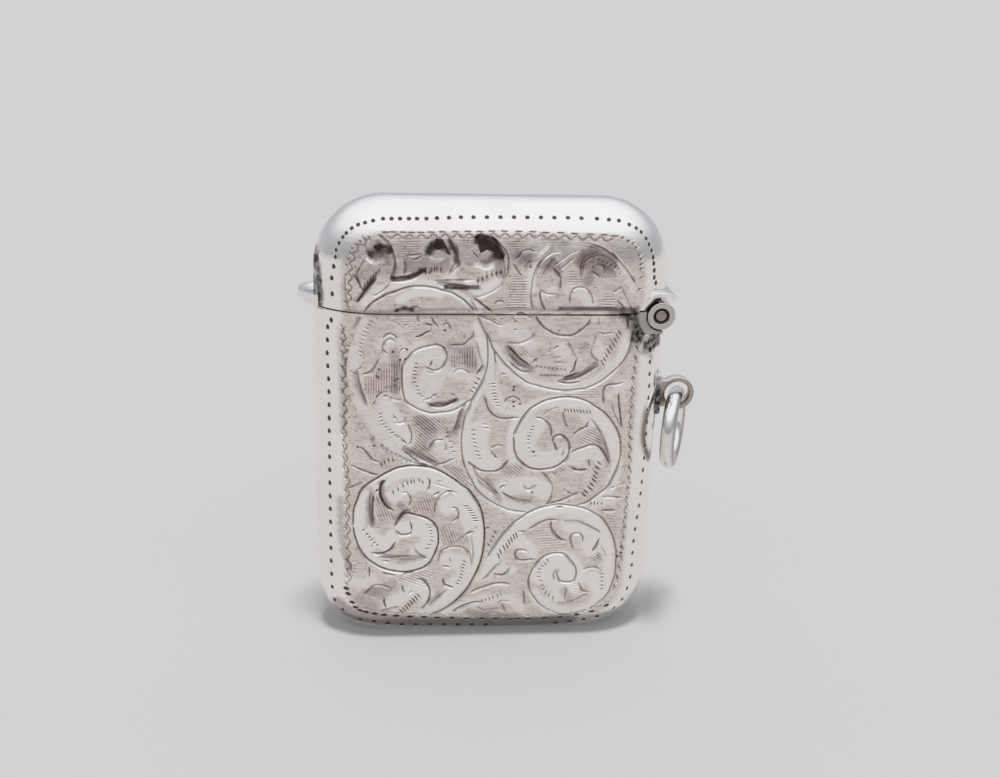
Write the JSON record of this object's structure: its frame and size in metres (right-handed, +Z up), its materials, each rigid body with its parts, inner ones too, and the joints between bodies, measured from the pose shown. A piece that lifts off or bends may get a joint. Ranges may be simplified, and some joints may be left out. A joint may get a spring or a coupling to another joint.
{
  "type": "vesta case",
  "caption": "Pillow-shaped silver pocket match case with a side-hinged lid, thumb piece, ridged striker under its base and a chain loop with a swinging jump ring.",
  "frame": {"origin": "centre of the flat base the case stands on", "axes": "+Z up towards the lid, front face towards -Y, hinge and chain loop on the +X side"},
  "size_m": [0.0408, 0.009, 0.0469],
  "materials": {
    "silver": "polished, engraved and lightly worn silver",
    "worn_silver": "dull, tarnished silver",
    "spring_steel": "blued steel, brushed"
  },
  "bodies": {
    "case": {"body_front": "silver", "body_back": "silver", "striker": "worn_silver", "mouth_collar": "silver", "hinge_block": "worn_silver", "front_knuckle": "silver", "rear_knuckle": "silver", "hinge_pin": "worn_silver", "lid_spring": "spring_steel", "spring_seat": "worn_silver", "spring_rivets": "worn_silver", "loop_foot": "silver", "chain_loop": "silver"},
    "lid": {"lid_front": "silver", "lid_back": "silver", "hinge_leaf": "silver", "lid_knuckle": "silver", "thumb_piece": "silver"},
    "ring": {"jump_ring": "silver"}
  },
  "joints": [
    {"name": "lid_hinge", "type": "hinge", "parent": "case", "child": "lid", "pos_m": [0.01665, 0, 0.0357], "axis": [0, 1, 0], "range_deg": [0, 110], "deforming": ["lid_spring"]},
    {"name": "ring_swing", "type": "hinge", "parent": "case", "child": "ring", "pos_m": [0.0196, 0, 0.02613], "axis": [-0.3584, -0.9336, 0], "range_deg": [-6, 105]}
  ]
}
